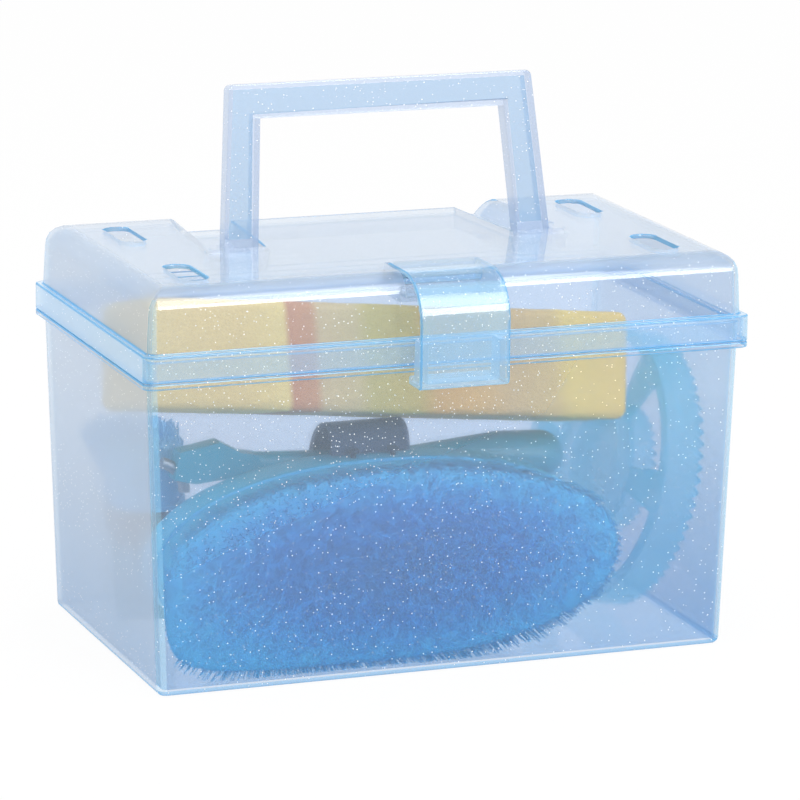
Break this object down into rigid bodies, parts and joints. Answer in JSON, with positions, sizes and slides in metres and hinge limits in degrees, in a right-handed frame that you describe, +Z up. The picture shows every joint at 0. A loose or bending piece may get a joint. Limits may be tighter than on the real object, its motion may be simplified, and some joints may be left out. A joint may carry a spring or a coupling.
{
  "type": "horse grooming box",
  "caption": "Tapered clear plastic carry box with a hinged lid, front latch and folding handle, holding a sponge, brushes, a curry comb and a hoof pick.",
  "frame": {"origin": "middle of the tub's flat underside", "axes": "+X along the box's length, +Y from the latch to the hinges, +Z up"},
  "size_m": [0.272, 0.1838, 0.2426],
  "materials": {
    "clear_plastic": "glossy, tinted clear, with fine glitter",
    "latch_plastic": "glossy, tinted clear",
    "steel": "plain",
    "foam": "open foam",
    "brush_plastic": "smooth",
    "blue_bristle": "fine strands",
    "pale_bristle": "fine strands",
    "dark_webbing": "woven",
    "teal_webbing": "woven",
    "brush_wood": "varnished",
    "comb_plastic": "smooth, slightly clear",
    "pick_plastic": "moulded"
  },
  "bodies": {
    "base": {"base_tub": "clear_plastic", "hinge_pin_left": "steel", "hinge_pin_right": "steel", "sponge": "foam", "body_brush_back": "brush_plastic", "body_brush_bristles": "blue_bristle", "body_brush_strap": "dark_webbing", "body_brush_screw_left": "steel", "body_brush_screw_right": "steel", "face_brush_back": "brush_wood", "face_brush_bristles": "pale_bristle", "face_brush_strap": "teal_webbing", "face_brush_screw_front": "steel", "face_brush_screw_rear": "steel", "curry_comb": "comb_plastic", "hoof_pick_handle": "pick_plastic", "hoof_pick_hook": "steel"},
    "lid": {"lid_shell": "clear_plastic", "latch_pin": "steel"},
    "latch": {"latch": "latch_plastic"},
    "handle": {"handle": "clear_plastic"}
  },
  "joints": [
    {"name": "lid_hinge", "type": "hinge", "parent": "base", "child": "lid", "pos_m": [0, 0.0858, 0.13565], "axis": [-1, 0, 0], "range_deg": [0, 105]},
    {"name": "latch_hinge", "type": "hinge", "parent": "lid", "child": "latch", "pos_m": [0, -0.0562, 0.17], "axis": [-1, 0, 0], "range_deg": [0, 95]},
    {"name": "handle_hinge", "type": "hinge", "parent": "lid", "child": "handle", "pos_m": [0, 0.002, 0.1703], "axis": [-1, 0, 0], "range_deg": [-9, 81]}
  ]
}
